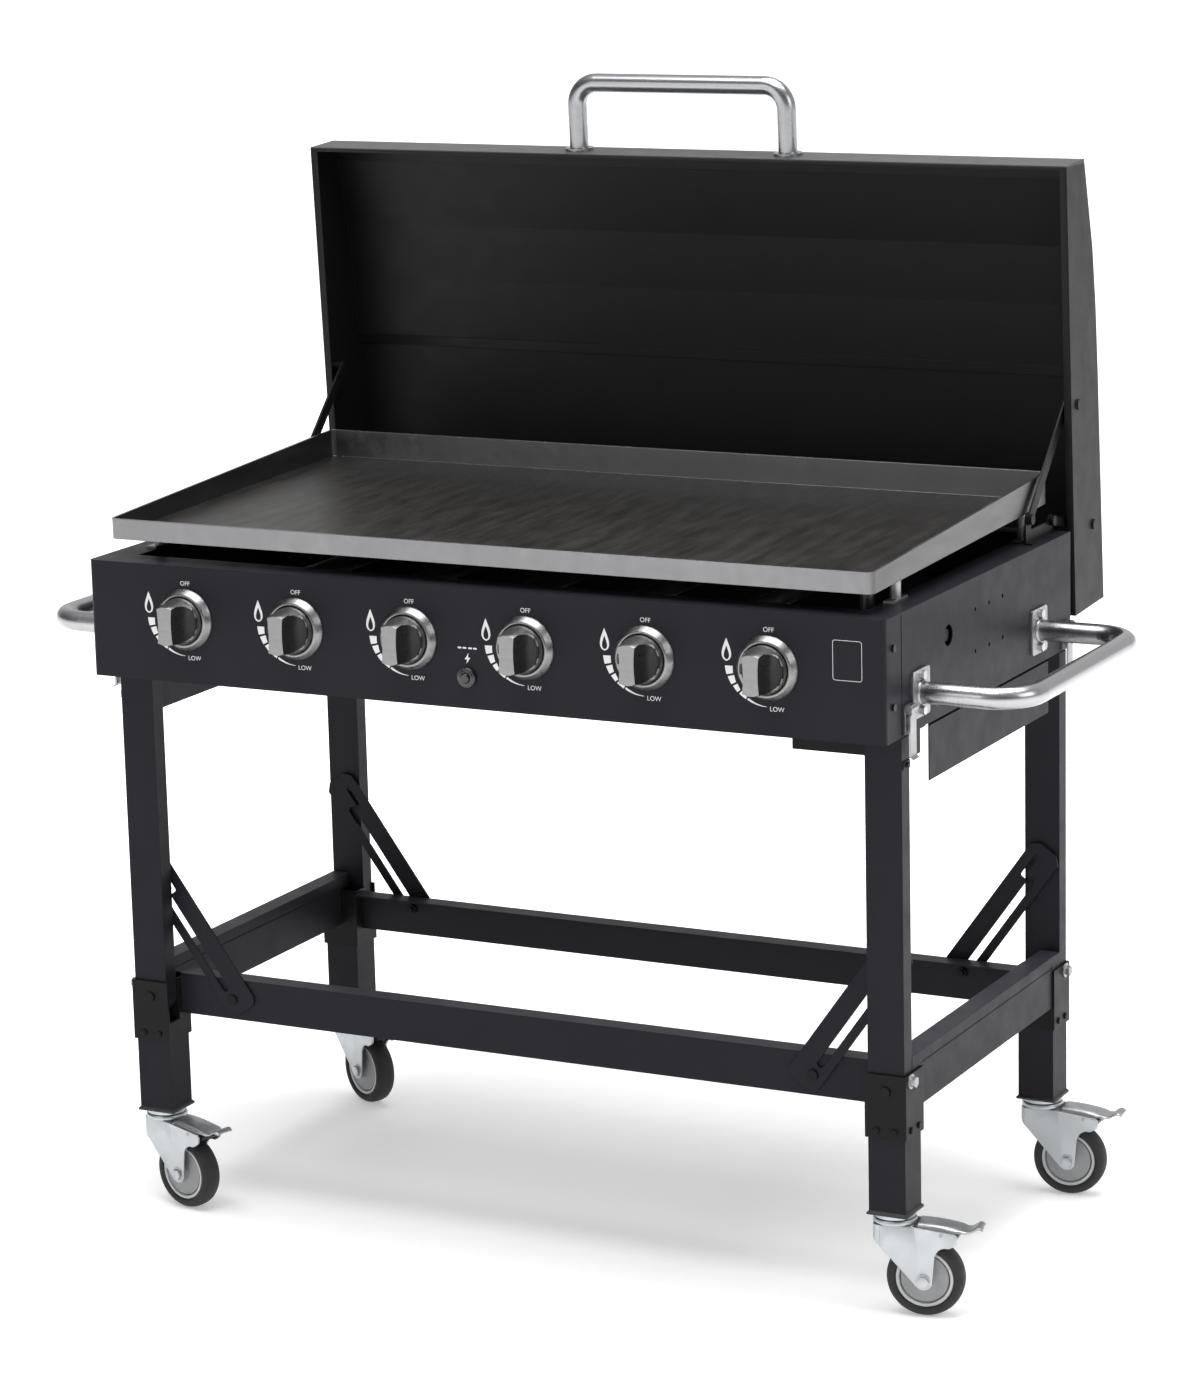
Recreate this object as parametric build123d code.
from build123d import *
import os
from math import atan2, cos, degrees, hypot, radians, sin

# Outdoor gas griddle: a burner head with a linked lid, latched on a cart whose four legs fold.
# Millimetres, +X to the right seen from the front, +Y to the back, +Z up, floor at zero.
# Sizes are given about the middle of the cart; the last step sets the origin under the overall box.
os.makedirs("parts", exist_ok=True)

# Clearances
slide_gap = 0.3            # between faces that pass each other
leg_gap = 0.4              # upper leg inside its corner bracket
pin_gap = 0.06             # shaft in its bore, on the radius
seat_gap = 0.8             # head above the leg tops, so a turning leg clears it

# Cart legs
leg = 50.0                 # square lower leg
leg_wall = 2.0
leg_inset = 28.0           # leg centre inward of the head's side
leg_y = 253.0              # leg centre, front to back from the middle
lower_leg_top = 262.0
leg_reach = 454.0          # fold pivot to the top of an upper leg
leg_corner = 3.0           # chamfer on the top of an upper leg
leg_cap = 3.0
upper_wall = 1.5
leg_bush_r = 9.0

# Corner brackets and rails
bracket = 3.0              # sheet
bracket_low = 236.0
bracket_top = 319.0
pivot_z = 297.0            # fold pivot and brace bolt
pivot_bolt_r = 5.0
lock_bolt_r = 4.0
lock_rise = 13.0           # lock bolt above the fold pivot
lock_washer = 1.5
lock_washer_r = 9.6
lock_head = 6.4
lock_head_r = 7.2
rail_sheet = 2.0
rail_flange = 28.0
rail_top = 325.0
rail_height = 56.0
rear_rail_drop = 10.0
side_rail_top = 338.0
side_rail_height = 70.0
groove_z = 322.0           # line along the side rails, on both faces
groove = 3.0
groove_depth = 0.8
screw_r = 2.5
screw_head_r = 4.5
screw_head = 2.6
screw_round = 1.5
screw_spread = 12.0
screw_rise = 10.0          # screws above the bracket's lower edge
bolt_head_r = 7.0
bolt_head = 2.6
nut_r = 7.5
nut_thick = 5.0
pivot_nut_r = 8.5
thread_end = 5.0           # bolt past its nut
hex_sides = 6

# Folding braces
brace = 3.0                # sheet
brace_stand = 3.3          # brace away from the leg, room for the bolt head
brace_inset = 112.0        # brace bolt inward of the fold pivot
brace_angle = 54.4         # slot above the level, legs up
brace_tail = 22.0          # rounded end round the bolt
brace_narrow = 12.0        # strip below the slot
brace_wide = 26.0          # strip above the slot
brace_over = 20.0          # end past the leg pin
brace_bolt_r = 4.0
slot_width = 10.0
slot_start = 19.0
leg_pin_rise = 171.0       # leg pin above the fold pivot
leg_pin_in = 7.0           # leg pin inward of the leg centre
hook_drop = 32.0           # short slot below the leg pin
hook_width = 6.0
leg_pin_r = 2.6
leg_pin_head_r = 6.5

# End plugs and casters
caster_height = 134.0
plug_flange = 5.0
plug_flare = 2.5
plug_bevel = 2.4
plug_depth = 18.0
stem_r = 6.0
race_r = 26.0
race_thick = 5.0
king_head_r = 10.2
king_head = 4.0
wheel_r = 50.0
tyre_width = 30.0
tyre_round = 5.0
hub_r = 37.0
hub_dish = 4.0             # hub face inside the tyre's side
hub_boss_r = 11.0
axle_r = 4.0
axle_head_r = 8.0
axle_head = 4.0
trail = 39.0               # axle behind the swivel
fork_gap = 38.0
fork_sheet = 3.0
fork_race_r = 28.0
fork_race = 7.7
fork_back = 80.0           # cheek's rear top corner from the swivel
fork_nose = 26.0
fork_eye_r = 14.0
fork_leg_half = 13.3       # half width of a cheek at the axle
fork_nose_drop = 14.0
fork_tail_drop = 24.0      # lower edge of a cheek over the wheel, below the fork's top plate
fork_tail_cut = 9.0
fork_plate_back = 26.0
pedal_pivot_x = 62.0
pedal_pivot_drop = 22.0    # pedal pivot below the end plug
pedal_pin_r = 2.5
pedal_barrel_r = 5.0
pedal_reach = 113.0
pedal_front = 31.5         # pedal's front edge from the swivel
pedal_front_rise = 3.0     # above the fork's top plate
pedal_bend = 92.0
pedal_dip = 8.0            # below the fork's top plate
pedal_crest = 106.0
pedal_crest_rise = 2.0
pedal_sheet = 3.0
swivel = {"front_right": 12.0, "rear_right": 6.0, "front_left": -14.0, "rear_left": -27.0}

# Head: burner box
head_half = 568.0
head_front = -334.0
head_back = 285.0
head_height = 155.0
sheet = 1.5
return_depth = 51.0        # control panel's side returns
panel_round = 7.0
flange = 45.0              # top and bottom flanges of the side panels
rear_flange = 30.0
tab_reach = 30.0           # side panel tab behind a return
pan_sheet = 1.2
vent_width = 20.0
vents = ((-120.0, 40.0), (0.0, 150.0), (120.0, 40.0))  # middle and length of each air slot
return_screw_y = 25.0      # behind the panel's face
return_screw_z = (43.0, 116.0)
skirt_front = -187.0
skirt_back = 217.0
skirt_drop = 76.0
skirt_inset = 5.0
skirt_tab = 16.0

# Side panel holes
inlet_y = -135.0
inlet_z = 98.0             # above the head's lower edge
inlet_hole_r = 13.5
grid_pitch_y = 46.0
grid_pitch_z = 54.0
grid_y = -1.0
grid_z = 87.0
grid_hole_r = 2.75

# Gas train
knob_count = 6
knob_margin = 150.5        # half the panel less half the row of knobs
knob_middle = -4.5
knob_z = 85.0              # above the head's lower edge
burner_r = 12.7
burner_wall = 1.2
burner_front = -262.0
burner_back = 225.0
burner_tab = 1.5
burner_tab_half = 8.0
port_r = 1.4
port_pitch = 16.0
port_margin = 60.0
support_sheet = 2.0
support_foot = 20.0
support_inset = 108.0      # burner support's end inward of the head's side
electrode_r = 3.5
electrode_length = 40.0
electrode_y = -200.0
electrode_tip_r = 1.0
electrode_tip = 14.0
valve_half = 12.0
valve_length = 36.0
spud_r = 4.5
spud_length = 38.0
nipple_r = 5.0
manifold_r = 10.0
manifold_y = -308.0
manifold_end = 30.0
manifold_gap = 1.2         # manifold below the valve bodies
inlet_run = 108.0          # riser inward of the head's side
inlet_hex_r = 11.0
inlet_hex_length = 18.0
inlet_thread_r = 8.0
inlet_recess = 3.0         # fitting's end behind the side panel's face

# Knobs, bezels and igniter
bezel_r = 41.0
bezel_top_r = 35.0
bezel_bore_r = 31.5
bezel_height = 11.0
knob_r = 30.0
knob_lift = 3.0            # knob's back off the panel
knob_disc = 15.0
knob_reach = 50.0
grip_half = 10.0
grip_round = 1.5
stem_hole_r = 8.0
knob_stem_r = 4.0
knob_socket = 12.0
knob_stem_in = 20.0
igniter_z = 41.0
igniter_r = 8.0
igniter_depth = 40.0
igniter_collar_r = 13.0
igniter_collar = 5.0
igniter_nut = 4.0
button_r = 6.0
button_out = 9.0
button_in = 14.0
button_travel = 4.0

# Griddle plate
plate_inset = 23.0         # plate's side inward of the head's
plate_front = -315.0
plate_depth = 578.0
plate_sheet = 4.0
rim_wall = 3.5
rim_front = 27.0
rim_rear = 42.0
plate_corner = 10.0
plate_lift = 26.0          # plate's front lower edge above the deck
plate_fall = 1.5           # degrees, down to the front
drain_inset = 68.0         # from the head's right side
drain_y = -228.0
drain_r = 9.0
drain_bore_r = 7.5
drain_end = 6.0            # tube's end above the pan
drain_hole_gap = 3.0
rest_inset = 13.0          # foot inward of the plate's side
rest_front_y = -216.0
rest_back_y = 205.0
rest_r = 7.0
rest_tab = 3.0
rest_tab_half_y = 22.0

# Grease drawer
drawer_inset = 8.0         # drawer's outer end from the head's right side
drawer_length = 155.0
drawer_half = 20.0
drawer_depth = 35.0
drawer_sheet = 1.2
drawer_rim = 3.0
drawer_pull = 7.0
channel_wall = 1.2
channel_inset = 48.0       # channel's outer end from the head's right side

# Side handles
handle_r = 14.0
handle_wall = 2.0
handle_out = 136.0         # tube centre from the side panel
handle_front_y = -227.5
handle_back_y = 168.0
handle_z = 45.0
handle_bend = 50.0
handle_plate = 3.0
handle_plate_half_y = 26.0
handle_plate_half_z = 30.0
handle_plate_round = 5.0
handle_bolt_z = 22.0
handle_bolt_r = 3.0
handle_bolt_head_r = 6.0
handle_bolt_head = 5.0

# Latches
latch_half = 11.0
latch_base = 2.0
latch_pin_z = 34.0         # above the head's lower edge
latch_base_drop = 32.0
latch_pin_out = 6.5        # from the side panel
latch_pin_r = 2.0
latch_barrel_r = 4.0
latch_strap = 2.5
latch_strap_half = 9.0
latch_neck_half = 5.4
latch_strap_drop = 59.0
latch_curl = 4.0
keeper_half = 10.0
keeper_plate = 2.0
keeper_top = 32.0          # below the leg's top
keeper_height = 10.0
keeper_boss_r = 3.5
keeper_boss = 3.0

# Lid, drawn by distance from its hinge end and by height over its opening
lid_sheet = 1.5
lid_length = 601.0
lid_rear = 105.5
lid_seam = 310.0
lid_seam_height = 99.5
lid_bend = 400.0           # start and end of the rolled bend in the cover
lid_bend_height = 96.0
lid_slope = 480.0
lid_slope_height = 88.5
lid_front_height = 64.0
lid_lean = 3.2             # open lid leans to the front, degrees
lid_open_y = 305.0
lid_open_z = 789.0
lid_rest = 13.0            # closed lid's edge above the deck
lid_set = 6.0              # closed lid's rear wall ahead of the head's back
arm_on_lid = (282.0, 23.5)
link_on_lid = (109.0, 71.5)
arm_pivot_rise = 33.0      # above the deck
link_pivot_rise = 18.0
arm_width = 16.0
link_width = 12.0
arm_sheet = 3.0
arm_bolt_r = 4.0
arm_bolt_head_r = 7.0
arm_bolt_head = 3.0
spacer_r = 6.5
upright = 2.5
upright_inset = 21.0       # upright inward of the lid's side
lug_r = 9.0
bracket_foot = 2.5
bracket_foot_out = 11.0
lid_handle_half = 157.5
lid_handle_r = 13.0
lid_handle_wall = 1.6
lid_handle_out = 93.0
lid_handle_bend = 31.0
lid_handle_depth = 33.0
lid_handle_flange_r = 19.5
lid_handle_flange = 4.0

# Places worked out from the sizes above
leg_x = head_half - leg_inset
lid_half = head_half
plate_half = head_half - plate_inset
rest_x = plate_half - rest_inset
drain_x = head_half - drain_inset
drawer_right = head_half - drawer_inset
drawer_left = drawer_right - drawer_length
channel_right = head_half - channel_inset
support_half = head_half - support_inset
inlet_run_x = head_half - inlet_run
upright_x = lid_half - upright_inset
knob_pitch = 2 * (head_half - knob_margin) / (knob_count - 1)
outer_x = leg_x + leg / 2
outer_y = -(leg_y + leg / 2)
inner_y = -(leg_y - leg / 2)
leg_top = pivot_z + leg_reach
head_low = leg_top + seat_gap
head_top = head_low + head_height
knob_xs = [knob_middle + knob_pitch * (i - (knob_count - 1) / 2) for i in range(knob_count)]
knob_height = head_low + knob_z
panel_back = head_front + return_depth
upper_half = leg / 2 - leg_gap
upper_front = outer_y + leg_gap
upper_back = -leg_y - leg_gap
brace_front = upper_back + brace_stand
rail_front = brace_front + brace + slide_gap
latch_ys = (outer_y + leg / 4, -(outer_y + leg / 4))
pan_low = head_low + sheet
pan_top = pan_low + pan_sheet
plate_low = head_top + plate_lift


def box(x0, x1, y0, y1, z0, z1):
    """A block between two corners."""
    middle = Pos((x0 + x1) / 2, (y0 + y1) / 2, (z0 + z1) / 2)
    return middle * Box(abs(x1 - x0), abs(y1 - y0), abs(z1 - z0))


def rod(start, direction, length, radius):
    """A round bar from a point, along a direction."""
    plane = Plane(origin=start, z_dir=direction)
    low = (Align.CENTER, Align.CENTER, Align.MIN)
    return plane.location * Cylinder(radius, length, align=low)


def hexagon(start, direction, length, radius):
    """A hexagonal bar, such as a nut or a bolt head."""
    plane = Plane(origin=start, z_dir=direction)
    return extrude(plane * RegularPolygon(radius, hex_sides), length)


def side_prism(points, x0, x1):
    """A profile of (y, z) points, extended sideways."""
    face = make_face(Polyline(*points, close=True))
    return extrude(Plane.YZ.offset(x0) * face, x1 - x0)


def front_prism(points, y0, y1):
    """A profile of (x, z) points, extended from front to back."""
    face = make_face(Polyline(*points, close=True))
    return extrude(Plane.XZ.offset(-y0) * face, y0 - y1)


def tube_along(points, bend, radius, wall):
    """A bent round tube with open ends."""
    path = FilletPolyline(*points, radius=bend)
    start = Plane(origin=path @ 0, z_dir=path % 0)
    return sweep(start * (Circle(radius) - Circle(radius - wall)), path=path)


def at_corner(part, corner):
    """Copy a front right piece to a corner of the cart."""
    if "left" in corner:
        part = mirror(part, about=Plane.YZ)
    if "rear" in corner:
        part = mirror(part, about=Plane.XZ)
    return part


def both_sides(part):
    """A right-hand piece and its left-hand twin."""
    return [part, mirror(part, about=Plane.YZ)]


def four_corners(part):
    """A front right piece on all four corners."""
    return [at_corner(part, corner) for corner in swivel]


# Bracket screws: two low on each outer face, given as a point and an inward direction
def bracket_screws():
    height = bracket_low + screw_rise
    front = [((leg_x + s, outer_y - bracket, height), (0, 1, 0)) for s in (-screw_spread, screw_spread)]
    side = [((outer_x + bracket, -leg_y + s, height), (-1, 0, 0)) for s in (-screw_spread, screw_spread)]
    return front + side


def screw_holes():
    depth = bracket + leg_wall
    holes = [rod(point, way, depth, screw_r) for point, way in bracket_screws()]
    return Part() + holes


def lower_leg():
    half = leg / 2
    low = caster_height + plug_flange
    inner = half - leg_wall
    outside = box(leg_x - half, leg_x + half, outer_y, inner_y, low, lower_leg_top)
    inside = box(leg_x - inner, leg_x + inner, -leg_y - inner, -leg_y + inner, low, lower_leg_top)
    return outside - inside - screw_holes()


def end_plug():
    half = leg / 2 + plug_flare
    inner = leg / 2 - leg_wall - slide_gap
    top = caster_height + plug_flange
    low = box(leg_x - half, leg_x + half, -leg_y - half, -leg_y + half, caster_height, top)
    low = chamfer(low.edges().group_by(Axis.Z)[-1], plug_bevel)
    core = box(leg_x - inner, leg_x + inner, -leg_y - inner, -leg_y + inner, top, top + plug_depth)
    hole = rod((leg_x, -leg_y, caster_height), (0, 0, 1), plug_flange + plug_depth, stem_r)
    return low + core - hole


def corner_bracket():
    x0 = leg_x - leg / 2 - bracket
    x1 = outer_x + bracket
    y0 = outer_y - bracket
    y1 = inner_y + bracket
    web = -leg_y
    sleeve = box(x0, x1, y0, y1, bracket_low, lower_leg_top)
    sleeve -= box(x0 + bracket, outer_x, outer_y, inner_y, bracket_low, lower_leg_top)
    walls = [
        box(x0, x1, y0, outer_y, lower_leg_top, bracket_top),
        box(outer_x, x1, y0, y1, lower_leg_top, bracket_top),
        box(x0, x1, web, web + bracket, lower_leg_top, bracket_top),
        box(x0, x0 + bracket, web, y1, lower_leg_top, bracket_top),
        box(x0, x1, inner_y, y1, lower_leg_top, bracket_top),
    ]
    pivot = rod((leg_x, y0, pivot_z), (0, 1, 0), leg, pivot_bolt_r)
    lock = rod((outer_x, lock_y(), pivot_z + lock_rise), (1, 0, 0), bracket, lock_bolt_r)
    return sleeve + walls - pivot - lock - screw_holes()


def lock_y():
    return outer_y + leg / 4


def rail_profile(face, inward, top):
    """L-section points: a web at the face and a flange along its top, turned inward."""
    low = top - rail_height
    web = face + inward * rail_sheet
    edge = face + inward * rail_flange
    under = top - rail_sheet
    return [(face, low), (web, low), (web, under), (edge, under), (edge, top), (face, top)]


def rails():
    end_x = leg_x - leg / 2 - bracket
    end_y = inner_y + bracket
    bolt = rod((leg_x - brace_inset, rail_front, pivot_z), (0, 1, 0), rail_sheet, brace_bolt_r)
    bolts = Part() + both_sides(bolt)
    front = side_prism(rail_profile(rail_front, 1, rail_top), -end_x, end_x) - bolts
    back = side_prism(rail_profile(-rail_front, -1, rail_top - rear_rail_drop), -end_x, end_x)
    back -= mirror(bolts, about=Plane.XZ)
    return [front, back] + both_sides(side_rail(end_y))


def side_rail(end_y):
    """Rectangular tube with a fine groove along both faces and a solid end over each corner bracket."""
    x0 = outer_x - rail_flange
    low = side_rail_top - side_rail_height
    tube = box(x0, outer_x, end_y, -end_y, low, side_rail_top)
    wall = rail_sheet
    tube -= box(x0 + wall, outer_x - wall, end_y, -end_y, low + wall, side_rail_top - wall)
    for x in (x0, outer_x - groove_depth):
        tube -= box(x, x + groove_depth, end_y, -end_y, groove_z, groove_z + groove)
    tip = upper_back + slide_gap
    for y0, y1 in ((tip, end_y), (-end_y, -tip)):
        tube += box(x0, outer_x, y0, y1, bracket_top, side_rail_top)
    return tube


def pivot_bolt():
    face = outer_y - bracket
    web = -leg_y + bracket
    head = rod((leg_x, face, pivot_z), (0, -1, 0), bolt_head, bolt_head_r)
    shank = rod((leg_x, face, pivot_z), (0, 1, 0), web - face + nut_thick, pivot_bolt_r)
    nut = hexagon((leg_x, web, pivot_z), (0, 1, 0), nut_thick, pivot_nut_r)
    return head + shank + nut


def brace_bolt():
    x = leg_x - brace_inset
    start = (x, brace_front - slide_gap, pivot_z)
    head = rod(start, (0, -1, 0), bolt_head, bolt_head_r)
    shank = rod(start, (0, 1, 0), brace + 2 * slide_gap + rail_sheet + nut_thick + thread_end, brace_bolt_r)
    nut = hexagon((x, rail_front + rail_sheet, pivot_z), (0, 1, 0), nut_thick, nut_r)
    return head + shank + nut


def cart_screw(point, way):
    head = rod(point, tuple(-w for w in way), screw_head, screw_head_r)
    head = fillet(head.edges().sort_by(Axis(point, way))[0], screw_round)
    return head + rod(point, way, bracket + leg_wall, screw_r)


def lock_bolt():
    face = (outer_x + bracket, lock_y(), pivot_z + lock_rise)
    washer = rod(face, (1, 0, 0), lock_washer, lock_washer_r)
    head = hexagon((face[0] + lock_washer, face[1], face[2]), (1, 0, 0), lock_head, lock_head_r)
    shank = rod(face, (-1, 0, 0), bracket, lock_bolt_r)
    return washer + head + shank


def upper_leg():
    top = leg_top
    edge = upper_half - leg_corner
    points = [
        (leg_x - upper_half, pivot_z), (leg_x - upper_half, top - leg_corner), (leg_x - edge, top),
        (leg_x + edge, top), (leg_x + upper_half, top - leg_corner), (leg_x + upper_half, pivot_z),
    ]
    front = (leg_x, upper_front, pivot_z)
    depth = upper_back - upper_front
    inner = upper_half - upper_wall
    outside = front_prism(points, upper_front, upper_back) + rod(front, (0, 1, 0), depth, upper_half)
    y0 = upper_front + upper_wall
    y1 = upper_back - upper_wall
    inside = box(leg_x - inner, leg_x + inner, y0, y1, pivot_z, top - leg_cap)
    inside += rod((leg_x, y0, pivot_z), (0, 1, 0), y1 - y0, inner)
    inside -= rod(front, (0, 1, 0), depth, leg_bush_r)
    return outside - inside - rod(front, (0, 1, 0), depth, pivot_bolt_r + pin_gap)


def keeper():
    """Latch plate on the outer face of an upper leg."""
    face = leg_x + upper_half
    middle = (upper_front + upper_back) / 2
    top = leg_top - keeper_top
    plate = box(face, face + keeper_plate, middle - keeper_half, middle + keeper_half,
                top - keeper_height, top)
    centre = (face + keeper_plate, middle, top - keeper_height / 2)
    return plate + rod(centre, (1, 0, 0), keeper_boss, keeper_boss_r)


def brace_plate():
    """Slotted brace along its own slot from the rail bolt, then turned up to the leg pin.

    The pin's head faces the leg and its tail is flush, so the folded brace lies along the rail.
    """
    pin_x = brace_inset - leg_pin_in
    length = hypot(pin_x, leg_pin_rise)
    offset = degrees(atan2(leg_pin_rise, pin_x)) - brace_angle
    along = length * cos(radians(offset))
    aside = length * sin(radians(offset))
    low = -slot_width / 2 - brace_narrow
    high = slot_width / 2 + brace_wide
    end = along + brace_over
    outline = Pos((end - brace_tail) / 2, (low + high) / 2) * Rectangle(end + brace_tail, high - low)
    outline = fillet(outline.vertices().group_by(Axis.X)[0], brace_narrow)
    outline = chamfer(outline.vertices().group_by(Axis.X)[-1], slot_width)
    cross = along - hook_drop
    slots = capsule((slot_start, 0), (cross, 0), slot_width)
    slots += capsule((cross, 0), (cross, aside), hook_width)
    slots += capsule((cross, aside), (along, aside), hook_width)
    outline -= slots
    outline -= Circle(brace_bolt_r + pin_gap)
    plate = extrude(outline, brace)
    pin = rod((along, aside, 0), (0, 0, 1), brace, leg_pin_r)
    pin += rod((along, aside, slide_gap - brace_stand), (0, 0, 1), brace_stand - slide_gap, leg_pin_head_r)
    bolt = (leg_x - brace_inset, brace_front, pivot_z)
    # Seen from the front the slot runs up and to the right; its sheet faces the back
    up = radians(brace_angle)
    turn = Plane(origin=bolt, x_dir=(cos(up), 0, sin(up)), z_dir=(0, 1, 0))
    flip = mirror(Part() + [plate, pin], about=Plane.XZ)
    return [turn.location * solid for solid in flip.solids()]


def capsule(start, end, width):
    """A round-ended slot between two points of a flat sketch."""
    dx = end[0] - start[0]
    dy = end[1] - start[1]
    middle = Pos((start[0] + end[0]) / 2, (start[1] + end[1]) / 2)
    return middle * Rot(0, 0, degrees(atan2(dy, dx))) * SlotCenterToCenter(hypot(dx, dy), width)


# Caster, drawn round its swivel with the wheel trailing along +X
def caster_stem():
    low = caster_height - race_thick - fork_race - fork_sheet - slide_gap
    race = rod((0, 0, caster_height - race_thick), (0, 0, 1), race_thick, race_r)
    stem = rod((0, 0, caster_height), (0, 0, 1), plug_flange + plug_depth, stem_r)
    pin = rod((0, 0, low), (0, 0, 1), caster_height - low, stem_r)
    head = rod((0, 0, low - slide_gap), (0, 0, -1), king_head, king_head_r)
    neck = rod((0, 0, low - slide_gap), (0, 0, 1), slide_gap, stem_r)
    return race + stem + pin + head + neck


def caster_fork():
    top = caster_height - race_thick - slide_gap
    plate_top = top - fork_race
    plate_low = plate_top - fork_sheet
    half = fork_gap / 2 + fork_sheet
    race = rod((0, 0, plate_top), (0, 0, 1), fork_race, fork_race_r)
    plate = box(-fork_nose, fork_plate_back, -half, half, plate_low, plate_top)
    tail_low = plate_top - fork_tail_drop
    back = trail + fork_leg_half
    points = [
        (-fork_nose, plate_top), (fork_back, plate_top), (fork_back, tail_low + fork_tail_cut),
        (fork_back - fork_tail_cut, tail_low), (back, tail_low), (back, wheel_r),
        (trail - fork_leg_half, wheel_r), (-fork_nose, plate_top - fork_nose_drop),
    ]
    cheek = front_prism(points, fork_gap / 2, half)
    cheek += rod((trail, fork_gap / 2, wheel_r), (0, 1, 0), fork_sheet, fork_eye_r)
    cheeks = cheek + mirror(cheek, about=Plane.XZ)
    bores = rod((0, 0, plate_low), (0, 0, 1), top - plate_low, stem_r + pin_gap)
    bores += rod((trail, -half, wheel_r), (0, 1, 0), 2 * half, axle_r)
    bores += rod((pedal_pivot_x, -half, pedal_z()), (0, 1, 0), 2 * half, pedal_pin_r + pin_gap)
    return race + plate + cheeks - bores


def pedal_z():
    return caster_height - pedal_pivot_drop


def caster_axle():
    half = fork_gap / 2 + fork_sheet
    shank = rod((trail, -half, wheel_r), (0, 1, 0), 2 * half, axle_r)
    head = hexagon((trail, -half, wheel_r), (0, -1, 0), axle_head, axle_head_r)
    nut = hexagon((trail, half, wheel_r), (0, 1, 0), axle_head, axle_head_r)
    return shank + head + nut


def caster_hub():
    half = tyre_width / 2 - hub_dish
    boss = fork_gap / 2 - slide_gap
    disc = rod((trail, -half, wheel_r), (0, 1, 0), 2 * half, hub_r)
    hub = rod((trail, -boss, wheel_r), (0, 1, 0), 2 * boss, hub_boss_r)
    return disc + hub - rod((trail, -boss, wheel_r), (0, 1, 0), 2 * boss, axle_r + pin_gap)


def caster_tyre():
    half = tyre_width / 2
    ring = rod((trail, -half, wheel_r), (0, 1, 0), tyre_width, wheel_r)
    ring = fillet(ring.edges(), tyre_round)
    return ring - rod((trail, -half, wheel_r), (0, 1, 0), tyre_width, hub_r)


def brake_pedal():
    half = fork_gap / 2 - slide_gap * 2
    z = pedal_z()
    top = caster_height - race_thick - slide_gap - fork_race
    upper = [
        (pedal_front, top + pedal_front_rise), (pedal_bend, top - pedal_dip),
        (pedal_crest, top + pedal_crest_rise), (pedal_reach, top),
    ]
    points = upper + [(x, height - pedal_sheet) for x, height in reversed(upper)]
    plate = front_prism(points, -half, half)
    barrel = rod((pedal_pivot_x, -half, z), (0, 1, 0), 2 * half, pedal_barrel_r)
    pin = rod((pedal_pivot_x, -half - fork_sheet, z), (0, 1, 0), 2 * (half + fork_sheet), pedal_pin_r)
    return plate + barrel + pin


def place_caster(part, corner):
    x = leg_x if "right" in corner else -leg_x
    y = leg_y if "rear" in corner else -leg_y
    return Pos(x, y, 0) * Rot(0, 0, swivel[corner]) * part


# Head: sheet metal box
def control_panel():
    outside = box(-head_half, head_half, head_front, panel_back, head_low, head_top)
    outside = fillet(outside.edges().filter_by(Axis.Z).group_by(Axis.Y)[0], panel_round)
    inner = head_half - sheet
    inside = box(-inner, inner, head_front + sheet, panel_back, head_low + sheet, head_top - sheet)
    inside = fillet(inside.edges().filter_by(Axis.Z).group_by(Axis.Y)[0], panel_round - sheet)
    holes = [rod((x, head_front, knob_height), (0, 1, 0), sheet, stem_hole_r) for x in knob_xs]
    holes.append(rod((knob_middle, head_front, head_low + igniter_z), (0, 1, 0), sheet, igniter_r))
    return outside - inside - holes - both_sides(Part() + return_screw_holes())


def return_screws():
    y = head_front + return_screw_y
    return [((head_half, y, head_low + z), (-1, 0, 0)) for z in return_screw_z]


def return_screw_holes():
    return [rod(point, way, 2 * sheet, screw_r) for point, way in return_screws()]


def side_panel(gas_inlet):
    back = head_back - sheet
    panel = box(head_half - flange, head_half, panel_back, back, head_low, head_top)
    panel -= box(head_half - flange, head_half - sheet, panel_back, back, head_low + sheet, head_top - sheet)
    tab_low = head_low + 4 * sheet
    tab_top = head_top - 4 * sheet
    inner = head_half - sheet
    panel += box(inner - sheet, inner, panel_back - tab_reach, panel_back + tab_reach / 2, tab_low, tab_top)
    holes = return_screw_holes()
    for row in (-0.5, 0.5):
        for column in (-1, 0, 1):
            spot = (inner, grid_y + column * grid_pitch_y, head_low + grid_z + row * grid_pitch_z)
            holes.append(rod(spot, (1, 0, 0), sheet, grid_hole_r))
    for y in (handle_front_y, handle_back_y):
        for z in bolt_steps():
            holes.append(rod((inner, y, head_low + handle_z + z), (1, 0, 0), sheet, handle_bolt_r))
    if gas_inlet:
        holes.append(rod((inner, inlet_y, head_low + inlet_z), (1, 0, 0), sheet, inlet_hole_r))
    return panel - holes


def rear_panel():
    front = head_back - sheet
    inner = head_half - flange - slide_gap
    web = box(-head_half, head_half, front, head_back, head_low, head_top)
    top = box(-inner, inner, front - rear_flange, front, head_top - sheet, head_top)
    low = box(-inner, inner, front - rear_flange, front, head_low, head_low + sheet)
    return web + top + low


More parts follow.
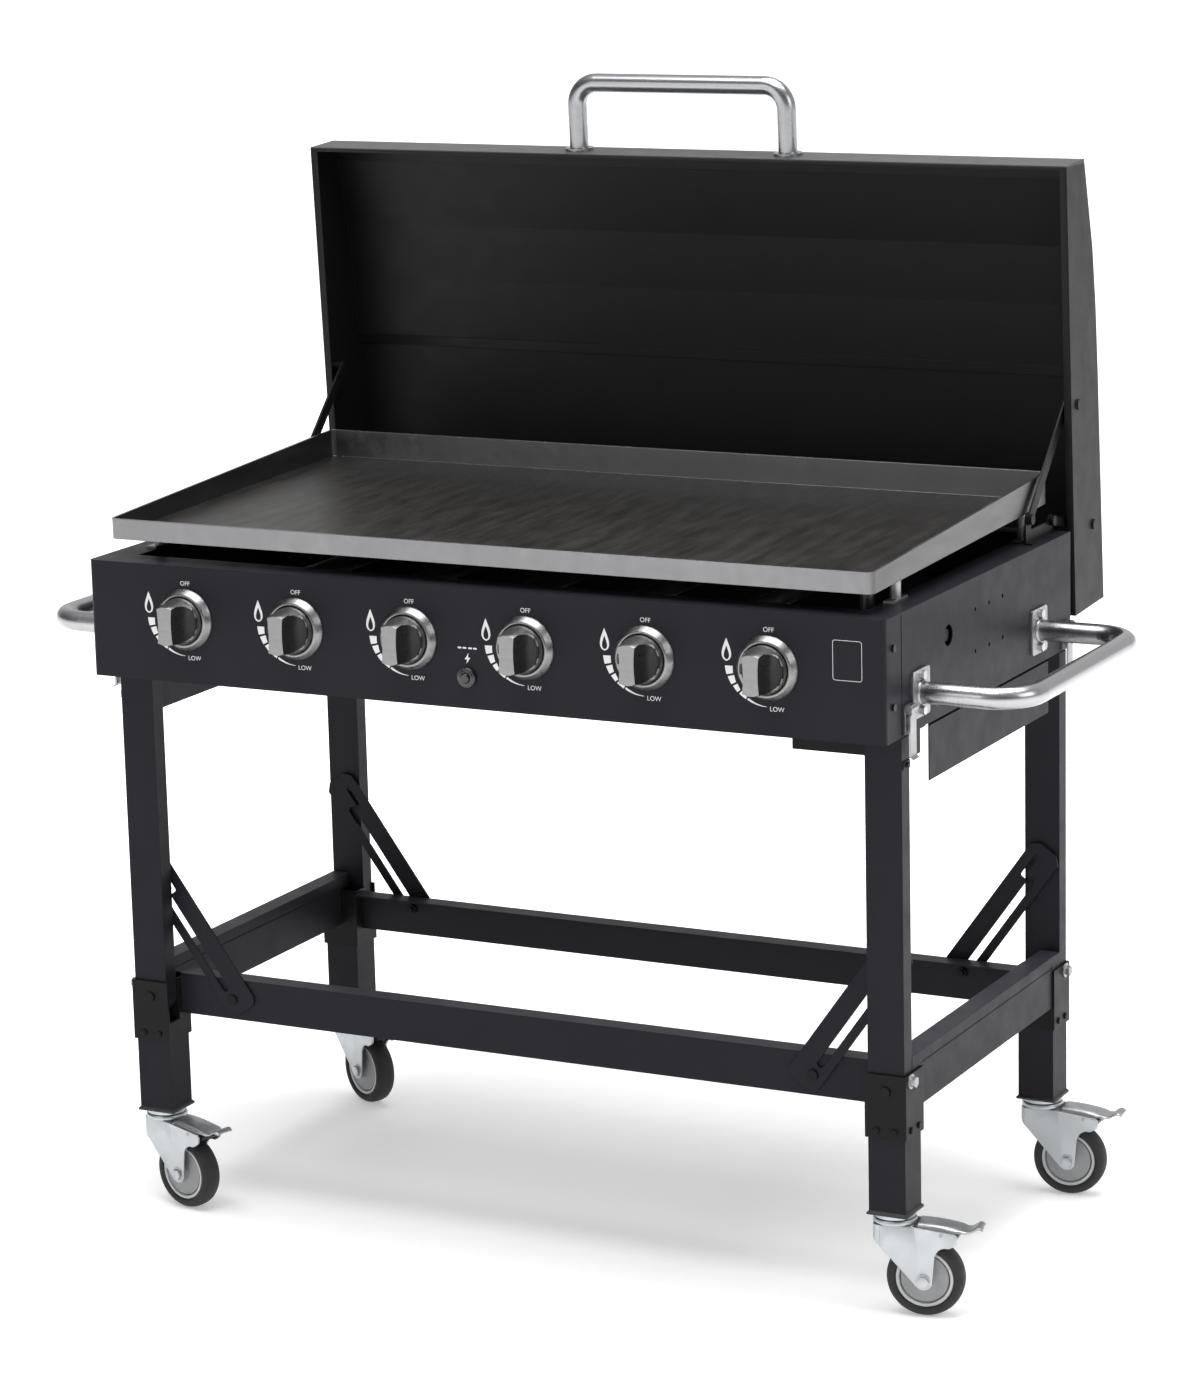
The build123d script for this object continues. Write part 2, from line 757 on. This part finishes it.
def bottom_pan():
    half = head_half - 2 * sheet - slide_gap
    y0 = panel_back + slide_gap
    y1 = head_back - sheet - slide_gap
    pan = box(-half, half, y0, y1, pan_low, pan_top)
    half_slot = vent_width / 2
    for x in knob_xs:
        for y, length in vents:
            pan -= box(x - half_slot, x + half_slot, y - length / 2, y + length / 2, pan_low, pan_top)
    support_y = burner_back + burner_tab
    burner_low = knob_height + burner_tab_half
    pan += box(-support_half, support_half, support_y, support_y + support_sheet, pan_top, burner_low)
    foot_back = support_y + support_foot
    pan += box(-support_half, support_half, support_y, foot_back, pan_top, pan_top + support_sheet)
    pan += drawer_channel()
    return pan - rod((drain_x, drain_y, head_low), (0, 0, 1), 3 * sheet, drain_r + drain_hole_gap)


def drawer_channel():
    """Inverted channel under the pan; its lips carry the drawer's rim."""
    half = drawer_half + drawer_rim + slide_gap + channel_wall
    low = drawer_top() - drawer_sheet - slide_gap - channel_wall
    channel = box(drawer_left, channel_right, drain_y - half, drain_y + half, low, pan_low)
    inner = half - channel_wall
    lip = low + channel_wall
    channel -= box(drawer_left, channel_right, drain_y - inner, drain_y + inner, lip, head_low)
    gap = drawer_half + slide_gap
    return channel - box(drawer_left, channel_right, drain_y - gap, drain_y + gap, low, lip)


def drawer_top():
    return head_low - 2 * slide_gap


def grease_drawer():
    top = drawer_top()
    half = drawer_half
    rim = half + drawer_rim
    wall = drawer_sheet
    low = top - drawer_depth
    tray = box(drawer_left, drawer_right, drain_y - half, drain_y + half, low, top)
    tray += box(drawer_left, drawer_right, drain_y - rim, drain_y + rim, top - wall, top)
    inner = half - wall
    tray -= box(drawer_left + wall, drawer_right - wall, drain_y - inner, drain_y + inner, low + wall, top)
    end = drawer_right + drawer_pull
    return tray + box(drawer_right, end, drain_y - half, drain_y + half, top - wall, top)


def side_skirt():
    x1 = head_half - skirt_inset
    web = box(x1 - sheet, x1, skirt_front, skirt_back, head_low - skirt_drop, head_low)
    return web + box(x1 - skirt_tab, x1, skirt_front, skirt_back, head_low - sheet, head_low)


# Gas train
def burner(x):
    front = (x, burner_front, knob_height)
    length = burner_back - burner_front
    tube = rod(front, (0, 1, 0), length, burner_r)
    tube -= rod(front, (0, 1, 0), length - 2 * burner_wall, burner_r - burner_wall)
    count = int((length - 2 * port_margin) / port_pitch) + 1
    for i in range(count):
        y = burner_front + port_margin + i * port_pitch
        for lean in (-1, 1):
            tube -= rod((x, y, knob_height), (lean, 0, 1), burner_r + burner_wall, port_r)
    tab = box(x - burner_tab_half, x + burner_tab_half, burner_back, burner_back + burner_tab,
              knob_height - burner_tab_half, knob_height + burner_tab_half)
    return tube + tab


def electrode(x):
    z = knob_height + burner_r + electrode_r + slide_gap
    body = rod((x, electrode_y - electrode_length, z), (0, 1, 0), electrode_length, electrode_r)
    return body + rod((x, electrode_y, z), (0, 1, 0), electrode_tip, electrode_tip_r)


def valve(x):
    y0 = head_front + sheet
    y1 = y0 + valve_length
    low = knob_height - valve_half
    body = box(x - valve_half, x + valve_half, y0, y1, low, knob_height + valve_half)
    body = chamfer(body.edges().filter_by(Axis.Y), valve_half / 3)
    body += rod((x, y1, knob_height), (0, 1, 0), spud_length, spud_r)
    body += rod((x, manifold_y, manifold_z()), (0, 0, 1), low - manifold_z(), nipple_r)
    return body - rod((x, y0, knob_height), (0, 1, 0), knob_stem_in, knob_stem_r + pin_gap)


def manifold_z():
    return knob_height - valve_half - manifold_r - manifold_gap


def gas_manifold():
    z = manifold_z()
    start = (knob_xs[0] - manifold_end, manifold_y, z)
    height = head_low + inlet_z
    corner = (inlet_run_x, manifold_y, z)
    riser = (inlet_run_x, inlet_y, z)
    outlet = (inlet_run_x, inlet_y, height)
    end = head_half - inlet_recess
    pipe = rod(start, (1, 0, 0), inlet_run_x - start[0], manifold_r)
    pipe += rod(corner, (0, 1, 0), inlet_y - manifold_y, manifold_r)
    pipe += rod(riser, (0, 0, 1), height - z, manifold_r)
    for spot in (corner, riser, outlet):
        pipe += Pos(*spot) * Sphere(manifold_r)
    pipe += rod(outlet, (1, 0, 0), end - inlet_run_x - inlet_hex_length, inlet_thread_r)
    hex_start = (end - 2 * inlet_hex_length, inlet_y, height)
    pipe += hexagon(hex_start, (1, 0, 0), inlet_hex_length, inlet_hex_r)
    pipe += rod(hex_start, (1, 0, 0), 2 * inlet_hex_length, inlet_thread_r)
    nipples = [rod((x, manifold_y, z), (0, 0, 1), manifold_r, nipple_r) for x in knob_xs]
    return pipe - nipples


def bezel(x):
    face = (x, head_front, knob_height)
    profile = [
        (bezel_bore_r, 0), (bezel_r, 0), (bezel_r, bezel_height / 6),
        (bezel_top_r, bezel_height), (bezel_bore_r, bezel_height),
    ]
    ring = revolve(make_face(Plane.XZ * Polyline(*profile, close=True)), Axis.Z)
    return Plane(origin=face, z_dir=(0, -1, 0)).location * ring


def knob(x):
    """Knob with its grip upright, and the valve stem that it turns."""
    front = (x, head_front - knob_lift, knob_height)
    disc = rod(front, (0, -1, 0), knob_disc, knob_r)
    post = rod(front, (0, -1, 0), knob_reach - knob_lift, knob_r)
    reach = head_front - knob_reach
    low = knob_height - knob_r
    grip = post & box(x - grip_half, x + grip_half, reach, front[1], low, low + 2 * knob_r)
    grip = fillet(grip.faces().sort_by(Axis.Y)[0].edges(), grip_round)
    cap = disc + grip
    socket = front[1] - knob_socket
    cap -= rod((x, socket, knob_height), (0, 1, 0), knob_socket, knob_stem_r + pin_gap)
    stem_end = head_front + sheet + knob_stem_in - slide_gap
    stem = rod((x, socket + slide_gap, knob_height), (0, 1, 0), stem_end - socket - slide_gap, knob_stem_r)
    return [cap, stem]


def igniter_body():
    face = (knob_middle, head_front, head_low + igniter_z)
    collar = rod(face, (0, -1, 0), igniter_collar, igniter_collar_r)
    collar = fillet(collar.edges().sort_by(Axis.Y)[0], igniter_collar / 3)
    barrel = rod(face, (0, 1, 0), igniter_depth, igniter_r)
    nut = hexagon((face[0], face[1] + sheet, face[2]), (0, 1, 0), igniter_nut, igniter_collar_r)
    bore = rod((face[0], face[1] - igniter_collar, face[2]), (0, 1, 0),
               igniter_collar + button_in + button_travel + slide_gap, button_r + pin_gap)
    return collar + barrel + nut - bore


def igniter_button():
    start = (knob_middle, head_front + button_in, head_low + igniter_z)
    button = rod(start, (0, -1, 0), button_in + button_out, button_r)
    return fillet(button.edges().sort_by(Axis.Y)[0], button_r / 4)


# Griddle plate: level in its own frame with its front lower edge at zero, then set to its fall
def plate_frame(part):
    return Pos(0, plate_front, plate_low) * Rot(plate_fall, 0, 0) * part


def griddle_plate():
    corners = Pos(0, plate_depth / 2) * RectangleRounded(2 * plate_half, plate_depth, plate_corner)
    inner_half = plate_half - rim_wall
    inner_depth = plate_depth - 2 * rim_wall
    well = Pos(0, plate_depth / 2) * RectangleRounded(2 * inner_half, inner_depth, plate_corner - rim_wall)
    pan = extrude(corners, rim_rear)
    pan -= Pos(0, 0, plate_sheet) * extrude(well, rim_rear)
    slope = [(0, rim_front), (plate_depth, rim_rear), (plate_depth, 2 * rim_rear), (0, 2 * rim_rear)]
    pan -= side_prism(slope, -plate_half, plate_half)
    pan = plate_frame(pan)
    end = pan_top + drain_end
    top = plate_low + plate_sheet
    under = plate_low + (drain_y - plate_front + drain_r) * sin(radians(plate_fall))
    pan += rod((drain_x, drain_y, end), (0, 0, 1), under - end, drain_r)
    return pan - rod((drain_x, drain_y, end), (0, 0, 1), top + plate_sheet - end + drain_r, drain_bore_r)


def plate_rests():
    """Steel feet on tabs on the deck, cut to the plate's fall."""
    middle = Pos(0, plate_depth / 2, rim_rear / 2 - slide_gap)
    above = plate_frame(middle * Box(2 * plate_half, plate_depth, rim_rear))
    rests = []
    for x in (-rest_x, rest_x):
        for y in (rest_front_y, rest_back_y):
            foot = rod((x, y, head_top), (0, 0, 1), plate_low + rim_rear - head_top, rest_r)
            tab = box(x - rest_r, x + rest_r, y - rest_tab_half_y, y + rest_tab_half_y,
                      head_top, head_top + rest_tab)
            rests.append(foot + tab - above)
    return rests


# Side handles and latches
def side_handle():
    x = head_half + handle_plate
    z = head_low + handle_z
    out = head_half + handle_out
    y0 = handle_front_y
    y1 = handle_back_y
    points = [(x, y0, z), (out, y0, z), (out, y1, z), (x, y1, z)]
    return tube_along(points, handle_bend, handle_r, handle_wall)


def handle_base(y):
    z = head_low + handle_z
    plate = box(head_half, head_half + handle_plate, y - handle_plate_half_y, y + handle_plate_half_y,
                z - handle_plate_half_z, z + handle_plate_half_z)
    plate = fillet(plate.edges().filter_by(Axis.X), handle_plate_round)
    return plate - [rod((head_half, y, z + b), (1, 0, 0), handle_plate, handle_bolt_r) for b in bolt_steps()]


def bolt_steps():
    return (-handle_bolt_z, handle_bolt_z)


def handle_bolt(y, z):
    face = head_half + handle_plate
    head = hexagon((face, y, z), (1, 0, 0), handle_bolt_head, handle_bolt_head_r)
    return head + rod((face, y, z), (-1, 0, 0), handle_plate + 2 * sheet, handle_bolt_r)


def return_screw(point, way):
    head = rod(point, tuple(-w for w in way), screw_head, screw_head_r)
    return head + rod(point, way, 2 * sheet, screw_r)


def latch_base_at(y):
    x = head_half
    z = head_low + latch_pin_z
    plate = box(x, x + latch_base, y - latch_half, y + latch_half, z - latch_base_drop, z + latch_barrel_r)
    pin_x = x + latch_pin_out
    for side in (-1, 1):
        inner = y + side * (latch_neck_half + slide_gap)
        outer = y + side * latch_half
        plate += box(x, pin_x, inner, outer, z - latch_barrel_r, z + latch_barrel_r)
        plate += rod((pin_x, inner, z), (0, side, 0), abs(outer - inner), latch_barrel_r)
    return plate + rod((pin_x, y - latch_half, z), (0, 1, 0), 2 * latch_half, latch_pin_r)


def latch_strap_at(y):
    x = head_half + latch_pin_out
    z = head_low + latch_pin_z
    half = latch_strap / 2
    barrel = rod((x, y - latch_neck_half, z), (0, 1, 0), 2 * latch_neck_half, latch_barrel_r)
    shoulder = z - 2 * latch_barrel_r
    neck = box(x - half, x + half, y - latch_neck_half, y + latch_neck_half, shoulder, z)
    low = z - latch_strap_drop
    curl = [(x - half, low), (x + half, low), (x + half + latch_curl, low - latch_curl),
            (x - half + latch_curl, low - latch_curl)]
    strap = box(x - half, x + half, y - latch_strap_half, y + latch_strap_half, low, shoulder)
    strap += front_prism(curl, y - latch_strap_half, y + latch_strap_half)
    bore = rod((x, y - latch_half, z), (0, 1, 0), 2 * latch_half, latch_pin_r + pin_gap)
    return barrel + neck + strap - bore


# Lid: points are (y, z), open at rest and closed
def lid_open(along, over):
    lean = radians(lid_lean)
    y = lid_open_y - along * sin(lean) + over * cos(lean)
    z = lid_open_z + along * cos(lean) + over * sin(lean)
    return (y, z)


def lid_closed(along, over):
    return (head_back - lid_set - along, head_top + lid_rest + over)


def link_pivot(spot, rise):
    """Fixed pivot, at a given height, that is as far from the spot with the lid open as closed."""
    z = head_top + rise
    a = lid_open(*spot)
    c = lid_closed(*spot)
    same = (a[0] ** 2 + a[1] ** 2 - c[0] ** 2 - c[1] ** 2) / 2
    return ((same - z * (a[1] - c[1])) / (a[0] - c[0]), z)


arm_pivot = link_pivot(arm_on_lid, arm_pivot_rise)
link_foot = link_pivot(link_on_lid, link_pivot_rise)
arm_x = upright_x + upright + slide_gap


def lid_roof():
    return [
        (0, lid_rear), (lid_seam, lid_seam_height), (lid_bend, lid_bend_height),
        (lid_slope, lid_slope_height), (lid_length, lid_front_height),
    ]


def roof_at(along):
    """Height of the lid's cover at a distance from the hinge end."""
    roof = lid_roof()
    for (s0, d0), (s1, d1) in zip(roof, roof[1:]):
        if along <= s1:
            return d0 + (d1 - d0) * (along - s0) / (s1 - s0)


def lid_shell():
    """Sheets welded edge to edge: rear wall, two roof sheets with a seam, front wall, two sides."""
    wall = lid_sheet
    roof = lid_roof()
    rear = (wall, roof_at(wall) - wall)
    front = (lid_length - wall, roof_at(lid_length - wall) - wall)
    bends = [(along, over - wall) for along, over in roof[1:-1]]
    outer = [(0, 0)] + roof + [(lid_length, 0)]
    inner = [(wall, 0), rear] + bends + [front, (lid_length - wall, 0)]
    seams = (0, 1, 2, len(outer) - 2, len(outer) - 1)
    sheets = []
    for first, last in zip(seams, seams[1:]):
        profile = outer[first:last + 1] + inner[first:last + 1][::-1]
        sheets.append(side_prism([lid_open(*p) for p in profile], wall - lid_half, lid_half - wall))
    side = side_prism([lid_open(*p) for p in outer], lid_half - wall, lid_half)
    for spot in (arm_on_lid, link_on_lid):
        side -= rod((lid_half - wall, *lid_open(*spot)), (1, 0, 0), wall, arm_bolt_r)
    return sheets + both_sides(side)


def lid_bolt(spot, inner_end):
    y, z = lid_open(*spot)
    head = rod((lid_half, y, z), (1, 0, 0), arm_bolt_head, arm_bolt_head_r)
    shank = rod((inner_end, y, z), (1, 0, 0), lid_half - inner_end, arm_bolt_r)
    spacer_start = max(inner_end, arm_x + arm_sheet + slide_gap)
    spacer = rod((spacer_start, y, z), (1, 0, 0), lid_half - lid_sheet - spacer_start, spacer_r)
    return head + shank + spacer


def link_bar(start, end, width):
    """Flat bar between two (y, z) points with a bore at each end."""
    dy = end[0] - start[0]
    dz = end[1] - start[1]
    middle = (arm_x, (start[0] + end[0]) / 2, (start[1] + end[1]) / 2)
    plane = Plane(origin=middle, x_dir=(0, dy, dz), z_dir=(1, 0, 0))
    bar = extrude(plane * SlotCenterToCenter(hypot(dy, dz), width), arm_sheet)
    bores = [rod((arm_x, *spot), (1, 0, 0), arm_sheet, arm_bolt_r + pin_gap) for spot in (start, end)]
    return bar - bores


def lid_bracket():
    """Upright on the deck with a lug for the arm and a lug for the link."""
    y0 = arm_pivot[0] - lug_r
    y1 = link_foot[0] + arm_width / 2
    plate = box(upright_x, upright_x + upright, y0, y1, head_top, link_foot[1])
    plate += box(upright_x, upright_x + upright, y0, y0 + 2 * lug_r, head_top, arm_pivot[1])
    plate += rod((upright_x, *arm_pivot), (1, 0, 0), upright, lug_r)
    plate += rod((upright_x, *link_foot), (1, 0, 0), upright, arm_width / 2)
    plate += box(upright_x, upright_x + bracket_foot_out, y0, y1, head_top, head_top + bracket_foot)
    bracket_bolts = [bracket_bolt(spot) for spot in (arm_pivot, link_foot)]
    return plate + bracket_bolts


def bracket_bolt(spot):
    """Shoulder rivet on an upright, its head outside the bar that turns on it."""
    outer = arm_x + arm_sheet + slide_gap
    shank = rod((upright_x, *spot), (1, 0, 0), outer - upright_x, arm_bolt_r)
    return shank + rod((outer, *spot), (1, 0, 0), arm_bolt_head, arm_bolt_head_r)


def lid_handle():
    base_y, base_z = lid_open(lid_length + lid_handle_flange, lid_handle_depth)
    top_y, top_z = lid_open(lid_length + lid_handle_out, lid_handle_depth)
    half = lid_handle_half
    points = [(-half, base_y, base_z), (-half, top_y, top_z), (half, top_y, top_z), (half, base_y, base_z)]
    handle = tube_along(points, lid_handle_bend, lid_handle_r, lid_handle_wall)
    low = lid_open(lid_length, lid_handle_depth)
    up = (0, base_y - low[0], base_z - low[1])
    flanges = [rod((x, *low), up, lid_handle_flange, lid_handle_flange_r) for x in (-half, half)]
    return handle + flanges


# The origin goes under the middle of the overall box: knob fronts to the open lid's back
front_most = head_front - knob_reach
rear_most = lid_open(0, lid_rear)[0]
origin_shift = -(front_most + rear_most) / 2


def save(name, *parts):
    solids = [solid for part in parts for solid in part.solids()]
    whole = solids[0] if len(solids) == 1 else Compound(solids)
    export_step(Pos(0, origin_shift, 0) * whole, f"parts/{name}.step")


def main():
    save("cart_rails", *rails())
    save("lower_legs", *four_corners(lower_leg()))
    save("corner_brackets", *four_corners(corner_bracket()))
    save("leg_end_plugs", *four_corners(end_plug()))
    fasteners = [pivot_bolt(), brace_bolt()] + [cart_screw(*screw) for screw in bracket_screws()]
    save("cart_bolts", *[copy for piece in fasteners for copy in four_corners(piece)])
    save("lock_bolts", *four_corners(lock_bolt()))
    save("caster_stems", *[place_caster(caster_stem(), corner) for corner in swivel])
    for corner in swivel:
        save(f"upper_leg_{corner}", at_corner(upper_leg(), corner), at_corner(keeper(), corner))
        save(f"brace_{corner}", *[at_corner(solid, corner) for solid in brace_plate()])
        save(f"caster_fork_{corner}", *[place_caster(p, corner) for p in (caster_fork(), caster_axle())])
        save(f"caster_wheel_{corner}", *[place_caster(p, corner) for p in (caster_hub(), caster_tyre())])
        save(f"brake_pedal_{corner}", place_caster(brake_pedal(), corner))
        y = latch_ys[1] if "rear" in corner else latch_ys[0]
        strap = latch_strap_at(y)
        save(f"latch_{corner}", mirror(strap, about=Plane.YZ) if "left" in corner else strap)

    save("control_panel", control_panel())
    save("side_panels", side_panel(True), mirror(side_panel(False), about=Plane.YZ))
    save("rear_panel", rear_panel())
    save("bottom_pan", bottom_pan())
    save("side_skirts", *both_sides(side_skirt()))
    first = burner(0)
    save("burners", *[Pos(x, 0, 0) * piece for x in knob_xs for piece in (first, electrode(0))])
    save("gas_valves", *[valve(x) for x in knob_xs])
    save("gas_manifold", gas_manifold())
    save("knob_bezels", *[bezel(x) for x in knob_xs])
    for number, x in enumerate(knob_xs, 1):
        save(f"knob_{number}", *knob(x))
    save("igniter_body", igniter_body())
    save("igniter_button", igniter_button())
    save("griddle_plate", griddle_plate())
    save("plate_rests", *plate_rests())
    save("grease_drawer", grease_drawer())
    save("side_handles", *both_sides(side_handle()))
    bases = [handle_base(y) for y in (handle_front_y, handle_back_y)]
    save("handle_plates", *[copy for base in bases for copy in both_sides(base)])
    z = head_low + handle_z
    bolts = [handle_bolt(y, z + b) for y in (handle_front_y, handle_back_y) for b in bolt_steps()]
    bolts += [return_screw(*screw) for screw in return_screws()]
    save("head_bolts", *[copy for bolt in bolts for copy in both_sides(bolt)])
    save("latch_bases", *[copy for y in latch_ys for copy in both_sides(latch_base_at(y))])

    arm_end = lid_open(*arm_on_lid)
    link_end = lid_open(*link_on_lid)
    short = arm_x + arm_sheet + 2 * slide_gap
    bolts = [lid_bolt(arm_on_lid, arm_x - slide_gap), lid_bolt(link_on_lid, short)]
    save("lid_shell", *lid_shell(), *[copy for bolt in bolts for copy in both_sides(bolt)])
    save("lid_handle", lid_handle())
    save("lid_arms", *both_sides(link_bar(arm_pivot, arm_end, arm_width)))
    save("lid_links", *both_sides(link_bar(link_foot, link_end, link_width)))
    save("lid_brackets", *both_sides(lid_bracket()))


if __name__ == "__main__":
    main()
